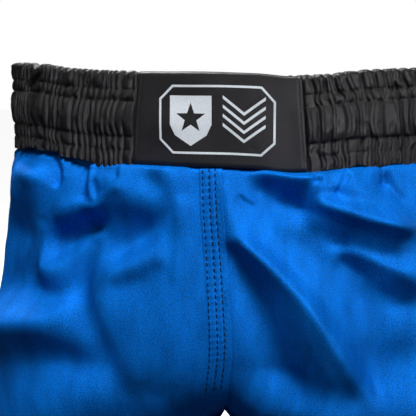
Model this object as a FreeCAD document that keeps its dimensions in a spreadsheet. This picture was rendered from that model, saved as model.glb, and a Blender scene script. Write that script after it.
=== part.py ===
import FreeCAD, Part
import os
from math import cos, pi, sin

import Sketcher
from FreeCAD import Placement, Rotation, Vector

# Boxing shorts, in millimetres, as worn, with the waist held open in an oval.
#
# The origin is the centre of the waist opening, in the plane of the waistband's top edge. +Z is up, -Y is
# the front and +X is the wearer's left.
#
# The body cloth is drawn as one half, hip and leg together: a loft through ellipses at eleven levels, cut
# off at the centre plane. High up the ellipse is as wide as both hips. Lower down it moves outwards and
# narrows, until at the crotch it only touches the centre plane, and below that it is a leg of its own.

doc = FreeCAD.newDocument("boxing_shorts")

# ---------------------------------------------------------------- driving dimensions

SIZES = {
    # waistband
    "waist_half_width": 197,
    "waist_half_depth": 68,
    "band_height": 76,
    "band_wall": 7,
    "casing_cloth": 2,
    "layer_gap": 0.15,
    "top_fold": 3,
    # the four rows that hold the elastic, measured down from the top edge
    "shirring_a": 15.2,
    "shirring_b": 24.5,
    "shirring_c": 53.5,
    "shirring_d": 64.6,
    # flat patch on the front
    "patch_top_width": 132,
    "patch_foot_width": 144,
    "patch_face": 1.6,
    "patch_stiffener": 1.8,
    "patch_lining": 1.6,
    "patch_stitch_inset": 3,
    # emblem
    "emblem_width": 94,
    "emblem_height": 55,
    "emblem_corner": 11,
    "emblem_stroke": 1.8,
    "print_film": 0.3,
    # body cloth
    "cloth": 2,
    # gusset between the legs
    "gusset_half_width": 24,
    "gusset_half_length": 60,
    "gusset_top": -256,
    "gusset_foot": -346,
    # vents at the foot of the side seams
    "vent_width": 26,
    "vent_height": 58,
    # sewing
    "thread": 0.6,
    "thread_gap": 0.1,
    "row_first": 4,
    "row_pitch": 5.1,
    "side_row_first": 2.5,
    "hem_row_height": 18,
    "bartack_length": 6,
    "bartack_width": 2.6,
    # overlocked edge inside the waist seam, and the blank size label
    "overlock_height": 9,
    "overlock_wall": 1.6,
    "label_width": 42,
    "label_height": 38,
    "label_thickness": 0.8,
    "label_tuck": 6,
}
# The wearer's left half of the body cloth: level, outermost and innermost reach in X, half depth in Y.
STATIONS = {
    "top": (-76, 194, -194, 65),
    "belly": (-120, 202, -202, 78),
    "hip": (-165, 211, -188, 89),
    "seat": (-210, 219, -134, 96),
    "rise": (-255, 228, -55, 99),
    "crotch": (-300, 236, 0, 98.5),
    "groin": (-325, 240, 11, 97.5),
    "thigh": (-360, 246, 15.5, 95.5),
    "leg": (-410, 254.5, 17, 93),
    "knee": (-450, 261, 17.5, 90.5),
    "hem": (-490, 268, 18, 88),
}
for station, values in STATIONS.items():
    for measure, value in zip(("level", "outer", "inner", "depth"), values):
        SIZES[f"{station}_{measure}"] = value
FAR = 400  # longer than any piece, for cutters

sheet = doc.addObject("Spreadsheet::Sheet", "sizes")
for row, (alias, value) in enumerate(SIZES.items(), start=1):
    sheet.set(f"A{row}", alias)
    sheet.set(f"B{row}", str(value))
    sheet.setAlias(f"B{row}", alias)
doc.recompute()

subparts = []


def expression(text):
    """Puts the sheet's name before each alias in a formula, so that formulas stay short."""
    words = sorted(SIZES, key=len, reverse=True)
    out, at = "", 0
    while at < len(text):
        found = next((w for w in words if text.startswith(w, at)), None)
        before_is_letter = at > 0 and (text[at - 1].isalnum() or text[at - 1] == "_")
        if found and not before_is_letter:
            after = text[at + len(found) : at + len(found) + 1]
            if not (after.isalnum() or after == "_"):
                out += "sizes." + found
                at += len(found)
                continue
        out += text[at]
        at += 1
    return out


def bind(obj, **formulas):
    """Binds properties of an object to formulas. A double underscore in a name stands for a dot."""
    for name, text in formulas.items():
        obj.setExpression(name.replace("__", "."), expression(str(text)))
    return obj


def finished(obj, label):
    """Names a sub-part and keeps it for export."""
    obj.Label = label
    subparts.append(obj)
    return obj


# ---------------------------------------------------------------- Part helpers


def box(name, x0, x1, y0, y1, z0, z1):
    """A box between six formulas."""
    made = doc.addObject("Part::Box", name)
    bind(
        made,
        Length=f"({x1}) - ({x0})",
        Width=f"({y1}) - ({y0})",
        Height=f"({z1}) - ({z0})",
        Placement__Base__x=x0,
        Placement__Base__y=y0,
        Placement__Base__z=z0,
    )
    return made


def cut(name, base, tool):
    made = doc.addObject("Part::Cut", name)
    made.Base, made.Tool = base, tool
    return made


def common(name, base, tool):
    made = doc.addObject("Part::Common", name)
    made.Base, made.Tool = base, tool
    return made


def fuse(name, pieces):
    made = doc.addObject("Part::MultiFuse", name)
    made.Shapes = pieces
    return made


def mirrored(name, source):
    """The source on the other side of the centre plane."""
    made = doc.addObject("Part::Mirroring", name)
    made.Source, made.Normal, made.Base = source, Vector(1, 0, 0), Vector(0, 0, 0)
    return made


def leg_loft(name, grow):
    """A solid through the ellipses of the wearer's left half, with each half axis grown by a formula."""
    ellipses = []
    for station in STATIONS:
        ellipse = doc.addObject("Part::Ellipse", f"{name}_{station}")
        bind(
            ellipse,
            MajorRadius=f"({station}_outer - {station}_inner) / 2 + ({grow})",
            MinorRadius=f"{station}_depth + ({grow})",
            Placement__Base__x=f"({station}_outer + {station}_inner) / 2",
            Placement__Base__z=f"{station}_level",
        )
        ellipses.append(ellipse)
    loft = doc.addObject("Part::Loft", name)
    loft.Sections, loft.Solid, loft.Ruled, loft.MaxDegree = ellipses, True, False, 3
    return loft


# ---------------------------------------------------------------- PartDesign helpers


def new_body(label):
    body = doc.addObject("PartDesign::Body", label)
    body.AllowCompound = True
    return finished(body, label)


def sketch_on(body, role, name, level="0"):
    """A sketch on one of its own body's origin planes, moved along the plane's normal by a formula."""
    plane = next(f for f in body.Origin.OriginFeatures if f.Role == role)
    made = body.newObject("Sketcher::SketchObject", name)
    made.AttachmentSupport = (plane, [""])
    made.MapMode = "FlatFace"
    bind(made, AttachmentOffset__Base__z=level)
    return made


def add_ellipse(sketch, half_width, half_depth):
    """An ellipse round the origin whose axes are bound to formulas."""
    index = sketch.GeometryCount
    sketch.addGeometry(Part.Ellipse(Vector(170, 0, 0), Vector(0, 75, 0), Vector(0, 0, 0)), False)
    sketch.exposeInternalGeometry(index)
    major, minor = index + 1, index + 2
    sketch.addConstraint(Sketcher.Constraint("Coincident", index, 3, -1, 1))
    sketch.addConstraint(Sketcher.Constraint("Horizontal", major))
    for line, start, formula in ((major, 340.0, half_width), (minor, 150.0, half_depth)):
        at = sketch.addConstraint(Sketcher.Constraint("Distance", line, start))
        sketch.setExpression(f"Constraints[{at}]", expression(f"2 * ({formula})"))


def add_polygon(sketch, corners):
    """A closed outline whose corners are pairs of formulas, each bound to the sketch's origin."""
    first, count = sketch.GeometryCount, len(corners)
    for i in range(count):
        a, b = (Vector(i, i % 3, 0), Vector(i + 1, (i + 1) % 3 + 0.5, 0))
        sketch.addGeometry(Part.LineSegment(a, b), False)
    for i in range(count):
        sketch.addConstraint(
            Sketcher.Constraint("Coincident", first + i, 2, first + (i + 1) % count, 1)
        )
    for i, corner in enumerate(corners):
        for kind, formula in zip(("DistanceX", "DistanceY"), corner):
            at = sketch.addConstraint(Sketcher.Constraint(kind, -1, 1, first + i, 1, float(i + 1)))
            sketch.setExpression(f"Constraints[{at}]", expression(str(formula)))


def add_rectangle(sketch, x0, x1, y0, y1):
    add_polygon(sketch, [(x0, y0), (x1, y0), (x1, y1), (x0, y1)])


def pad(body, sketch, length, reverse=False):
    made = body.newObject("PartDesign::Pad", sketch.Name + "_pad")
    made.Profile, made.Reversed = sketch, reverse
    bind(made, Length=length)
    return made


def pocket(body, sketch, length=None, reverse=False, both=False):
    """A pocket of a length, or through everything where none is given. It has to remove something."""
    doc.recompute()
    before = body.Tip.Shape.Volume
    made = body.newObject("PartDesign::Pocket", sketch.Name + "_pocket")
    made.Profile, made.Reversed, made.Midplane = sketch, reverse, both
    if length is None:
        made.Type = "ThroughAll"
    else:
        bind(made, Length=length)
    doc.recompute()
    if not made.Shape.Volume < before - 0.001:
        raise RuntimeError(f"{made.Label} removes nothing")
    return made


def ring_pad(body, name, outer, inner, level, height):
    """An upright oval ring between two offsets from the band's outer face, from a level upwards."""
    sketch = sketch_on(body, "XY_Plane", name, level)
    for offset in (outer, inner):
        add_ellipse(sketch, f"waist_half_width + ({offset})", f"waist_half_depth + ({offset})")
    return pad(body, sketch, height)


PATCH_CORNERS = [
    ("-patch_foot_width / 2", "-band_height"),
    ("patch_foot_width / 2", "-band_height"),
    ("patch_top_width / 2", "0"),
    ("-patch_top_width / 2", "0"),
]


def cut_patch_opening(body, name):
    """Takes the flat patch's place out of a ring, on the front side only."""
    sketch = sketch_on(body, "XZ_Plane", name)
    add_polygon(sketch, PATCH_CORNERS)
    return pocket(body, sketch, "waist_half_depth + band_wall", reverse=True)


def front_piece(label, groups, outer, inner):
    """A piece of the band's front, bent to the oval between two offsets. Each group is one set of outlines."""
    body = new_body(label)
    for number, outlines in enumerate(groups):
        profile = sketch_on(body, "XZ_Plane", f"{label}_outline_{number}")
        for corners in outlines:
            add_polygon(profile, corners)
        pad(body, profile, "waist_half_depth + band_wall")
    around = sketch_on(body, "XY_Plane", label + "_outside", "-band_height - 5")
    add_ellipse(around, f"waist_half_width + ({outer})", f"waist_half_depth + ({outer})")
    add_rectangle(around, -FAR, FAR, -FAR, FAR)
    pocket(body, around, "band_height + 10", reverse=True)
    within = sketch_on(body, "XY_Plane", label + "_inside", "-band_height - 5")
    add_ellipse(within, f"waist_half_width + ({inner})", f"waist_half_depth + ({inner})")
    pocket(body, within, "band_height + 10", reverse=True)
    return body


# ---------------------------------------------------------------- waistband


def waistband_casing():
    """Gathered cloth folded over the top edge, with a slot that the elastic lies in."""
    body = new_body("waistband_casing")
    ring_pad(body, "casing_wall", "0", "-band_wall", "-band_height", "band_height")
    slot = sketch_on(body, "XY_Plane", "casing_slot", "-band_height")
    for offset in ("-casing_cloth", "casing_cloth - band_wall"):
        add_ellipse(slot, f"waist_half_width + ({offset})", f"waist_half_depth + ({offset})")
    pocket(body, slot, "band_height - top_fold", reverse=True)
    cut_patch_opening(body, "casing_front")
    return body


def waistband_elastic():
    """One wide knitted elastic, from one side of the patch round the back to the other."""
    body = new_body("waistband_elastic")
    ring_pad(
        body,
        "elastic_wall",
        "-casing_cloth - layer_gap",
        "casing_cloth + layer_gap - band_wall",
        "-band_height",
        "band_height - top_fold - layer_gap",
    )
    cut_patch_opening(body, "elastic_front")
    return body


def shirring_stitches():
    """Four rows sewn through the casing and the elastic while it is stretched."""
    body = new_body("shirring_stitches")
    ring_pad(
        body, "shirring_wall", "thread_gap + thread", "thread_gap", "-band_height", "band_height"
    )
    between = sketch_on(body, "XZ_Plane", "shirring_between")
    edges = ["0", "shirring_a", "shirring_b", "shirring_c", "shirring_d", "band_height"]
    for above, below in zip(edges, edges[1:]):
        high = "1" if above == "0" else f"-{above} - thread / 2"
        low = "-band_height - 1" if below == "band_height" else f"-{below} + thread / 2"
        add_rectangle(between, -FAR, FAR, low, high)
    pocket(body, between, both=True)
    cut_patch_opening(body, "shirring_front")
    return body


def patch_edge_stitches():
    """A row of stitching just inside each side of the flat patch."""
    rows = []
    for side in ("-", ""):
        foot = f"{side}(patch_foot_width / 2 - patch_stitch_inset)"
        head = f"{side}(patch_top_width / 2 - patch_stitch_inset)"
        rows.append(
            [
                (f"{foot} - thread / 2", "1 - band_height"),
                (f"{foot} + thread / 2", "1 - band_height"),
                (f"{head} + thread / 2", "-1"),
                (f"{head} - thread / 2", "-1"),
            ]
        )
    return front_piece("patch_edge_stitches", [rows], "thread_gap + thread", "thread_gap")


def cut_corner_frame(inset):
    """A rectangle with its corners cut off, inset from the emblem's outline."""
    wide, tall = f"(emblem_width / 2 - {inset})", f"(emblem_height / 2 - {inset})"
    corner = f"(emblem_corner - 0.586 * {inset})"
    middle = "- band_height / 2"
    return [
        (f"-{wide} + {corner}", f"-{tall} {middle}"),
        (f"{wide} - {corner}", f"-{tall} {middle}"),
        (f"{wide}", f"-{tall} + {corner} {middle}"),
        (f"{wide}", f"{tall} - {corner} {middle}"),
        (f"{wide} - {corner}", f"{tall} {middle}"),
        (f"-{wide} + {corner}", f"{tall} {middle}"),
        (f"-{wide}", f"{tall} - {corner} {middle}"),
        (f"-{wide}", f"-{tall} + {corner} {middle}"),
    ]


def shield_outline():
    """A plain shield on the emblem's left half."""
    points = [(-38, 19), (-4, 19), (-4, -4), (-8, -12.5), (-21, -21), (-34, -12.5), (-38, -4)]
    return [(str(x), f"{z} - band_height / 2") for x, z in points]


def star_outline():
    """A five-pointed star inside the shield."""
    points = []
    for i in range(10):
        reach = 12.5 if i % 2 == 0 else 5.0
        turn = pi / 2 + i * pi / 5
        points.append((-21 + reach * cos(turn), 1 + reach * sin(turn)))
    return [(f"{x:.3f}", f"{z:.3f} - band_height / 2") for x, z in points]


def chevron_outline(top):
    """A thin chevron on the emblem's right half, pointing down."""
    left, right, drop, stroke = 5, 39, 13, 2.6
    middle = (left + right) / 2
    points = [(left, top), (middle, top - drop), (right, top)]
    points += [(x, z - stroke) for x, z in reversed(points)]
    return [(str(x), f"{z} - band_height / 2") for x, z in points]


def emblem_print():
    """A plain transfer: a frame, a shield with a star left open, and four chevrons."""
    chevrons = [chevron_outline(top) for top in (19.5, 12.3, 5.1, -2.1)]
    frame = [cut_corner_frame("0"), cut_corner_frame("emblem_stroke")]
    shield = [shield_outline(), star_outline()]
    return front_piece("emblem_print", [frame, shield, chevrons], "0.05 + print_film", "0.05")


def front_patch():
    """Satin face, stiffener and lining of the flat patch, each bent to the oval."""
    face = "-patch_face"
    middle = "-patch_face - patch_stiffener - layer_gap"
    back = "-patch_face - patch_stiffener - 2 * layer_gap - patch_lining"
    return [
        front_piece("front_patch_face", [[PATCH_CORNERS]], "0", face),
        front_piece("front_patch_stiffener", [[PATCH_CORNERS]], f"{face} - layer_gap", middle),
        front_piece("front_patch_lining", [[PATCH_CORNERS]], f"{middle} - layer_gap", back),
    ]


def waist_overlock():
    """The overlocked seam edges that hang inside, just under the band."""
    body = new_body("waist_seam_overlock")
    ring_pad(
        body,
        "overlock_wall_ring",
        "-4.8 - layer_gap",
        "-4.8 - layer_gap - overlock_wall",
        "-band_height - layer_gap - overlock_height",
        "overlock_height",
    )
    return body


def size_label():
    """A blank woven label, sewn in at the centre back and hanging from the band's inner face."""
    body = new_body("size_label")
    sketch = sketch_on(body, "XZ_Plane", "label_outline", "-(waist_half_depth - band_wall - 1.4)")
    add_rectangle(
        sketch,
        "-label_width / 2",
        "label_width / 2",
        "label_tuck - band_height - label_height",
        "label_tuck - band_height",
    )
    pad(body, sketch, "label_thickness")
    return body


# ---------------------------------------------------------------- body cloth


def vent_cutter():
    """A wedge with its point up, across the wearer's left side seam at the hem."""
    profile = doc.addObject("Part::Wedge", "vent_wedge")
    bind(
        profile,
        Xmin="0",
        Xmax=f"{FAR}",
        X2min="0",
        X2max=f"{FAR}",
        Ymin="0",
        Ymax="vent_height",
        Zmin="-vent_width / 2",
        Zmax="vent_width / 2",
        Z2min="-0.2",
        Z2max="0.2",
    )
    profile.Placement = Placement(Vector(0, 0, 0), Rotation(Vector(1, 0, 0), 90))
    bind(profile, Placement__Base__x="(hem_outer + hem_inner) / 2", Placement__Base__z="hem_level")
    return profile


def body_cloth():
    """The four cloth panels and the gusset, cut from one shell, and the rows of stitching on them."""
    outer, inner = leg_loft("outer_skin", "0"), leg_loft("inner_skin", "-cloth")
    over = leg_loft("thread_over", "thread_gap + thread")
    under = leg_loft("thread_under", "thread_gap")
    vent = vent_cutter()
    half_space = box("left_half", "0", FAR, -FAR, FAR, f"-{2 * FAR}", "10")
    shell = common("left_shell", cut("left_walls", outer, inner), half_space)
    open_shell = cut("left_open_shell", shell, vent)
    thread_shell = common("left_thread_shell", cut("left_thread_walls", over, under), half_space)
    open_thread = cut("left_open_thread", thread_shell, vent)
    right_shell = mirrored("right_open_shell", open_shell)
    right_thread = mirrored("right_open_thread", open_thread)
    gusset_box = box(
        "gusset_space",
        "-gusset_half_width",
        "gusset_half_width",
        "-gusset_half_length",
        "gusset_half_length",
        "gusset_foot",
        "gusset_top",
    )
    quarters = {
        "front": box("front_space", -FAR, FAR, -FAR, "0", f"-{2 * FAR}", "10"),
        "back": box("back_space", -FAR, FAR, "0", FAR, f"-{2 * FAR}", "10"),
    }
    for side, cloth in (("left", open_shell), ("right", right_shell)):
        for face, space in quarters.items():
            quarter = common(f"{side}_{face}_quarter", cloth, space)
            finished(cut(f"{face}_{side}_cloth", quarter, gusset_box), f"{face}_{side}_panel")
    both = fuse("both_shells", [open_shell, right_shell])
    finished(common("gusset_cloth", both, gusset_box), "crotch_gusset")
    body_stitches(open_thread, right_thread)


def row_boxes(name, rows):
    """A group of thin boxes, each given by its six formulas."""
    return fuse(name, [box(f"{name}_{i}", *row) for i, row in enumerate(rows)])


def body_stitches(left_thread, right_thread):
    """The rows of stitching on the body cloth, one node for each seam."""
    head, crotch = "top_level - 1", "gusset_top + 1"
    centre = [f"-row_first - {i} * row_pitch" for i in range(3)]
    for face, low, high in (("front", f"-{FAR}", "-5"), ("back", "5", f"{FAR}")):
        rows = [(f"{x} - thread / 2", f"{x} + thread / 2", low, high, crotch, head) for x in centre]
        tool = row_boxes(f"centre_{face}_rows", rows)
        finished(common(f"centre_{face}_thread", right_thread, tool), f"centre_{face}_stitches")
    sides = ["-side_row_first", "-side_row_first - row_pitch"]
    seams = (
        ("side", "top_outer / 2", f"{FAR}", "hem_level + vent_height + 1", head),
        ("inseam", "0.5", "60", "hem_level + 1", "gusset_foot - 1"),
    )
    for seam, x0, x1, low, high in seams:
        rows = [(x0, x1, f"{y} - thread / 2", f"{y} + thread / 2", low, high) for y in sides]
        tool = row_boxes(f"{seam}_rows", rows)
        left = common(f"left_{seam}_thread", left_thread, tool)
        finished(left, f"left_{seam}_stitches")
        finished(mirrored(f"right_{seam}_thread", left), f"right_{seam}_stitches")
    levels = ["hem_level + hem_row_height", "hem_level + hem_row_height + row_pitch"]
    rows = [("0", FAR, -FAR, FAR, f"{z} - thread / 2", f"{z} + thread / 2") for z in levels]
    hem = common("left_hem_ring", left_thread, row_boxes("hem_rows", rows))
    inseam_gap = box("inseam_gap", "0", "60", "-10", "0", "hem_level", "gusset_foot")
    left_hem = cut("left_hem_thread", hem, inseam_gap)
    finished(left_hem, "left_hem_stitches")
    finished(mirrored("right_hem_thread", left_hem), "right_hem_stitches")
    bar = box(
        "bartack_space",
        "(hem_outer + hem_inner) / 2",
        FAR,
        "-bartack_width / 2 + 0.9",
        "bartack_width / 2 + 0.9",
        "hem_level + vent_height + 1",
        "hem_level + vent_height + 1 + bartack_length",
    )
    left_bar = common("left_bartack_thread", left_thread, bar)
    finished(left_bar, "left_vent_bartack")
    finished(mirrored("right_bartack_thread", left_bar), "right_vent_bartack")


# ---------------------------------------------------------------- build, check and export


def check_document():
    """Stops if any object failed or any sub-part isn't a valid solid."""
    for obj in doc.Objects:
        if "Invalid" in obj.State or "Error" in obj.State:
            raise RuntimeError(f"{obj.Label} failed: {obj.State}")
    for obj in subparts:
        shape = obj.Shape
        if shape.isNull() or not shape.isValid() or not shape.Solids or shape.Volume < 0.5:
            raise RuntimeError(f"{obj.Label} has no valid solid")


def export():
    os.makedirs("parts", exist_ok=True)
    for old in os.listdir("parts"):
        os.remove(os.path.join("parts", old))
    for obj in subparts:
        obj.Shape.exportStep(f"parts/{obj.Label}.step")
        solids = len(obj.Shape.Solids)
        print(f"{obj.Label}: {solids} solid(s), {obj.Shape.Volume:.1f} mm3")


waistband_casing()
waistband_elastic()
front_patch()
emblem_print()
shirring_stitches()
patch_edge_stitches()
waist_overlock()
size_label()
body_cloth()
doc.recompute()
check_document()
export()
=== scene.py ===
from math import radians

import bpy
import bmesh
import numpy as np
from mathutils import Matrix, Vector


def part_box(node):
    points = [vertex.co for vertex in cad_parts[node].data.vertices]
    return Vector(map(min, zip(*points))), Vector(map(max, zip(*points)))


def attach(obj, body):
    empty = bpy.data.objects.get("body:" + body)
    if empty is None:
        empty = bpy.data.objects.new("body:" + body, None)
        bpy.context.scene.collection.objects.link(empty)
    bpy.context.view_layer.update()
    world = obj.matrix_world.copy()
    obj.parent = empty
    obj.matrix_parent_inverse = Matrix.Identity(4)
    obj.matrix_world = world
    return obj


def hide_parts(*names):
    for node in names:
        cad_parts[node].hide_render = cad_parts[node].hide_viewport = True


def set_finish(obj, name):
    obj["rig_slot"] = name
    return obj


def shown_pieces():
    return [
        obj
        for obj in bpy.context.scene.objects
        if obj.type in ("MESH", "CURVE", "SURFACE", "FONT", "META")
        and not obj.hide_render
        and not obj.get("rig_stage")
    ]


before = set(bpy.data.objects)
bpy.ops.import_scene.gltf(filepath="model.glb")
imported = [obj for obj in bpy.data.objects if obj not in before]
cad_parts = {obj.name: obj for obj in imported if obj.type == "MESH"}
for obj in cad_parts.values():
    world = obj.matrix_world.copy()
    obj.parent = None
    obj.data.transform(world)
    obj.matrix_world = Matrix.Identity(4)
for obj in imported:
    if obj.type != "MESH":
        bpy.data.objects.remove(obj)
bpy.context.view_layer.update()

# Boxing shorts. Shapes are worked out in millimetres, in the frame of the CAD model, and written to the
# meshes in metres. -Y is the front, +X is the wearer's left, and the band's top edge is at height 0.

MM = 0.001
TAU = 2 * np.pi

# ---------------------------------------------------------------- driving sizes, from the CAD nodes


def cad_edge(node, end, axis):
    """One coordinate of a CAD node's box, in millimetres to a tenth. End 0 is the low end, 1 the high."""
    return round(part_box(node)[end][axis] / MM, 1)


OVAL = (cad_edge("waistband_casing", 1, 0), cad_edge("waistband_casing", 1, 1))  # half axes of the waist
BAND = -cad_edge("waistband_casing", 0, 2)  # height of the band
PATCH_FOOT = cad_edge("front_patch_face", 1, 0)  # half the width of the patch along its foot
PATCH_TOP = PATCH_FOOT - 6  # and along its top
HEM = cad_edge("front_left_panel", 0, 2)  # levels of the hem and of the crotch
CROTCH = -300.0
VENT = 58.0  # height of the side vents

# ---------------------------------------------------------------- general helpers


def smooth_curve(at, values):
    """A smooth curve through the values, with no overshoot between them. It is flat beyond its ends."""
    at, values = np.asarray(at, float), np.asarray(values, float)
    order = np.argsort(at)
    at, values = at[order], values[order]
    gap = np.diff(at)
    rise = np.diff(values) / gap
    slope = np.zeros(len(at))
    same = rise[:-1] * rise[1:] > 0
    left, right = 2 * gap[1:] + gap[:-1], gap[1:] + 2 * gap[:-1]
    safe_a, safe_b = np.where(same, rise[:-1], 1), np.where(same, rise[1:], 1)
    slope[1:-1] = np.where(same, (left + right) / (left / safe_a + right / safe_b), 0)
    slope[0], slope[-1] = rise[0], rise[-1]

    def value(x):
        x = np.clip(np.asarray(x, float), at[0], at[-1])
        i = np.clip(np.searchsorted(at, x) - 1, 0, len(at) - 2)
        t = (x - at[i]) / gap[i]
        return (
            (1 + 2 * t) * (1 - t) ** 2 * values[i]
            + t * (1 - t) ** 2 * gap[i] * slope[i]
            + t * t * (3 - 2 * t) * values[i + 1]
            + t * t * (t - 1) * gap[i] * slope[i + 1]
        )

    return value


def ease(x, low, high):
    """0 below low, 1 above high, smooth between them."""
    t = np.clip((np.asarray(x, float) - low) / (high - low), 0, 1)
    return t * t * (3 - 2 * t)


def ripples(x, y, length, seed, count=14):
    """A smooth random field of about unit size, made of plane waves of about the given length."""
    rng = np.random.default_rng(seed)
    total = np.zeros(np.broadcast(x, y).shape)
    for _ in range(count):
        turn, phase = rng.uniform(0, TAU, 2)
        wave = TAU / (length * rng.uniform(0.7, 1.5))
        total += np.sin(wave * (x * np.cos(turn) + y * np.sin(turn)) + phase)
    return total / np.sqrt(count / 2)


def unit(v):
    """Vectors made one long."""
    return v / np.maximum(np.linalg.norm(v, axis=-1, keepdims=True), 1e-9)


def grid_normals(points, outward):
    """Unit normals of a grid of points, turned to the side that outward points to."""
    n = unit(np.cross(np.gradient(points, axis=0), np.gradient(points, axis=1)))
    sign = np.sign(np.sum(n * outward, axis=-1, keepdims=True).mean())
    return n * (sign if sign else 1)


# ---------------------------------------------------------------- where the view is from

AZIMUTH, ELEVATION, DISTANCE = radians(9), radians(8), 600.0
FRAME_WIDTH = 328.6  # width of what the frame takes in, at the front of the band
AIM = (-7.9, -107.4)  # middle of the frame, from the middle of the band's top edge
FRONT = np.array([0.0, -OVAL[1], 0.0])

forward = np.array(
    [-np.sin(AZIMUTH) * np.cos(ELEVATION), np.cos(AZIMUTH) * np.cos(ELEVATION), -np.sin(ELEVATION)]
)
rightward = np.array([np.cos(AZIMUTH), np.sin(AZIMUTH), 0.0])
upward = np.cross(rightward, forward)
EYE = FRONT + AIM[0] * rightward + AIM[1] * upward - DISTANCE * forward


def elevation_view(points):
    """Where points lie on the front elevation drawn from the eye, from the band's top middle."""
    ray = points - EYE
    scale = DISTANCE / (ray @ forward)
    return (ray @ rightward) * scale + AIM[0], (ray @ upward) * scale + AIM[1]


# ---------------------------------------------------------------- meshes


def make_object(name, points, faces, uv=None, smooth=True, node=None, slot=None, closed=True):
    """A mesh object that rides on the part's one body, and stands for a CAD node."""
    mesh = bpy.data.meshes.new(name)
    mesh.from_pydata((np.asarray(points) * MM).tolist(), [], [list(map(int, f)) for f in faces])
    mesh.validate()
    if uv is not None:
        layer = mesh.uv_layers.new(name="cloth")
        corner = np.zeros(len(mesh.loops), np.int32)
        mesh.loops.foreach_get("vertex_index", corner)
        layer.data.foreach_set("uv", (np.asarray(uv)[corner] * MM).astype(np.float32).ravel())
    if smooth:
        mesh.polygons.foreach_set("use_smooth", np.ones(len(mesh.polygons), bool))
    obj = bpy.data.objects.new(name, mesh)
    bpy.context.scene.collection.objects.link(obj)
    if closed:
        work = bmesh.new()
        work.from_mesh(mesh)
        bmesh.ops.recalc_face_normals(work, faces=work.faces)
        work.to_mesh(mesh)
        work.free()
    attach(obj, "root")
    if node:
        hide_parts(node)
    if slot:
        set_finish(obj, slot)
    return obj


def quads(rows, cols, start=0, ring=False):
    """The faces of a grid of points, row by row. A ring joins its last column to its first."""
    i, j = np.meshgrid(np.arange(rows - 1), np.arange(cols if ring else cols - 1), indexing="ij")
    k = (j + 1) % cols
    a, b = i * cols + j, i * cols + k
    return (np.stack([a, b, b + cols, a + cols], -1) + start).reshape(-1, 4)


def grid_object(name, points, thickness=None, uv=None, outward=None, **more):
    """A cloth from a grid of points on its outer face. With a thickness it is a closed shell."""
    rows, cols = points.shape[:2]
    count = rows * cols
    faces = quads(rows, cols)
    flat_uv = None if uv is None else uv.reshape(-1, 2)
    if thickness is None:
        return make_object(name, points.reshape(-1, 3), faces, flat_uv, closed=False, **more)
    inner = points - grid_normals(points, outward) * np.asarray(thickness)[..., None]
    rim = []
    border = (
        [(0, j) for j in range(cols)]
        + [(i, cols - 1) for i in range(1, rows)]
        + [(rows - 1, j) for j in range(cols - 2, -1, -1)]
        + [(i, 0) for i in range(rows - 2, 0, -1)]
    )
    loop = [i * cols + j for i, j in border]
    for a, b in zip(loop, loop[1:] + loop[:1]):
        rim.append((a, b, b + count, a + count))
    every = np.concatenate([points.reshape(-1, 3), inner.reshape(-1, 3)])
    back = faces[:, ::-1] + count
    all_faces = np.concatenate([faces, back, np.array(rim)])
    if flat_uv is not None:
        flat_uv = np.concatenate([flat_uv, flat_uv])
    return make_object(name, every, all_faces, flat_uv, **more)


def beads(name, middles, along, outward, length, radius, **more):
    """Stitches: a short rounded thread at each middle, with its ends dipping into the cloth."""
    sides = 6
    along, outward = unit(along), unit(outward)
    across = unit(np.cross(outward, along))
    up = np.cross(along, across)
    rings = np.array([-0.5, -0.46, -0.3, 0.0, 0.3, 0.46, 0.5])
    width = np.array([0.25, 0.7, 1.0, 1.0, 1.0, 0.7, 0.25])
    dip = -3.08 * np.abs(rings) ** 2.5
    turn = np.arange(sides) / sides * TAU
    points = (
        middles[:, None, None]
        + along[:, None, None] * (rings[None, :, None, None] * length)
        + up[:, None, None] * (dip[None, :, None, None] + radius * 0.4)
        + across[:, None, None] * (radius * width[None, :, None] * np.cos(turn)[None, None])[..., None]
        + up[:, None, None] * (radius * width[None, :, None] * np.sin(turn)[None, None])[..., None]
    )
    one = quads(len(rings), sides, ring=True)
    per = len(rings) * sides
    caps = [tuple(range(sides))[::-1], tuple(range(per - sides, per))]
    starts = np.arange(len(middles)) * per
    faces = [face + start for start in starts for face in one]
    for start in starts:
        faces += [tuple(v + start for v in cap) for cap in caps]
    return make_object(name, points.reshape(-1, 3), faces, **more)


# ---------------------------------------------------------------- the waistband's oval

OVAL_TURN = np.linspace(0, TAU, 7201)
OVAL_POINTS = np.stack([OVAL[0] * np.sin(OVAL_TURN), -OVAL[1] * np.cos(OVAL_TURN)], 1)
OVAL_RUN = np.concatenate([[0], np.cumsum(np.linalg.norm(np.diff(OVAL_POINTS, axis=0), axis=1))])
ROUND = OVAL_RUN[-1]
QUARTER = ROUND / 4

# How far the band stands above its level, by arc length from the front's middle.
RISE = (
    (-430, 0), (-330, 3), (-235, 9.5), (-205, 11), (-165, 9.3), (-130, 4.8), (-95, 2.4), (-62, 1.4),
    (-25, 0.6), (0, 0.4), (30, -0.6), (62, -3.2), (80, -2.2), (110, 1.2), (150, 3.2), (190, 5),
    (235, 6), (330, 3), (430, 0),
)
band_rise = smooth_curve(*zip(*RISE))

# How far the gathers of the body push the foot of the casing up or down at the front, by arc length.
FOOT_RISE = (
    (-190, 0), (-172, 3.0), (-160, 1.6), (-148, 3.2), (-136, 0.6), (-126, 1.2), (-116, 0.6), (-105, -2.8),
    (-97, -3.0), (-86, -1.4), (-78, -2.2), (-66, 0), (68, 0), (78, -1.2), (88, 0.9), (99, -0.6),
    (112, 1.4), (128, -1.2), (142, 1.0), (156, -0.8), (190, 0),
)
foot_rise = smooth_curve(*zip(*FOOT_RISE))


def from_front(arc):
    """The same place by arc length between minus and plus half the way round."""
    return (np.asarray(arc, float) + ROUND / 2) % ROUND - ROUND / 2


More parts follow.
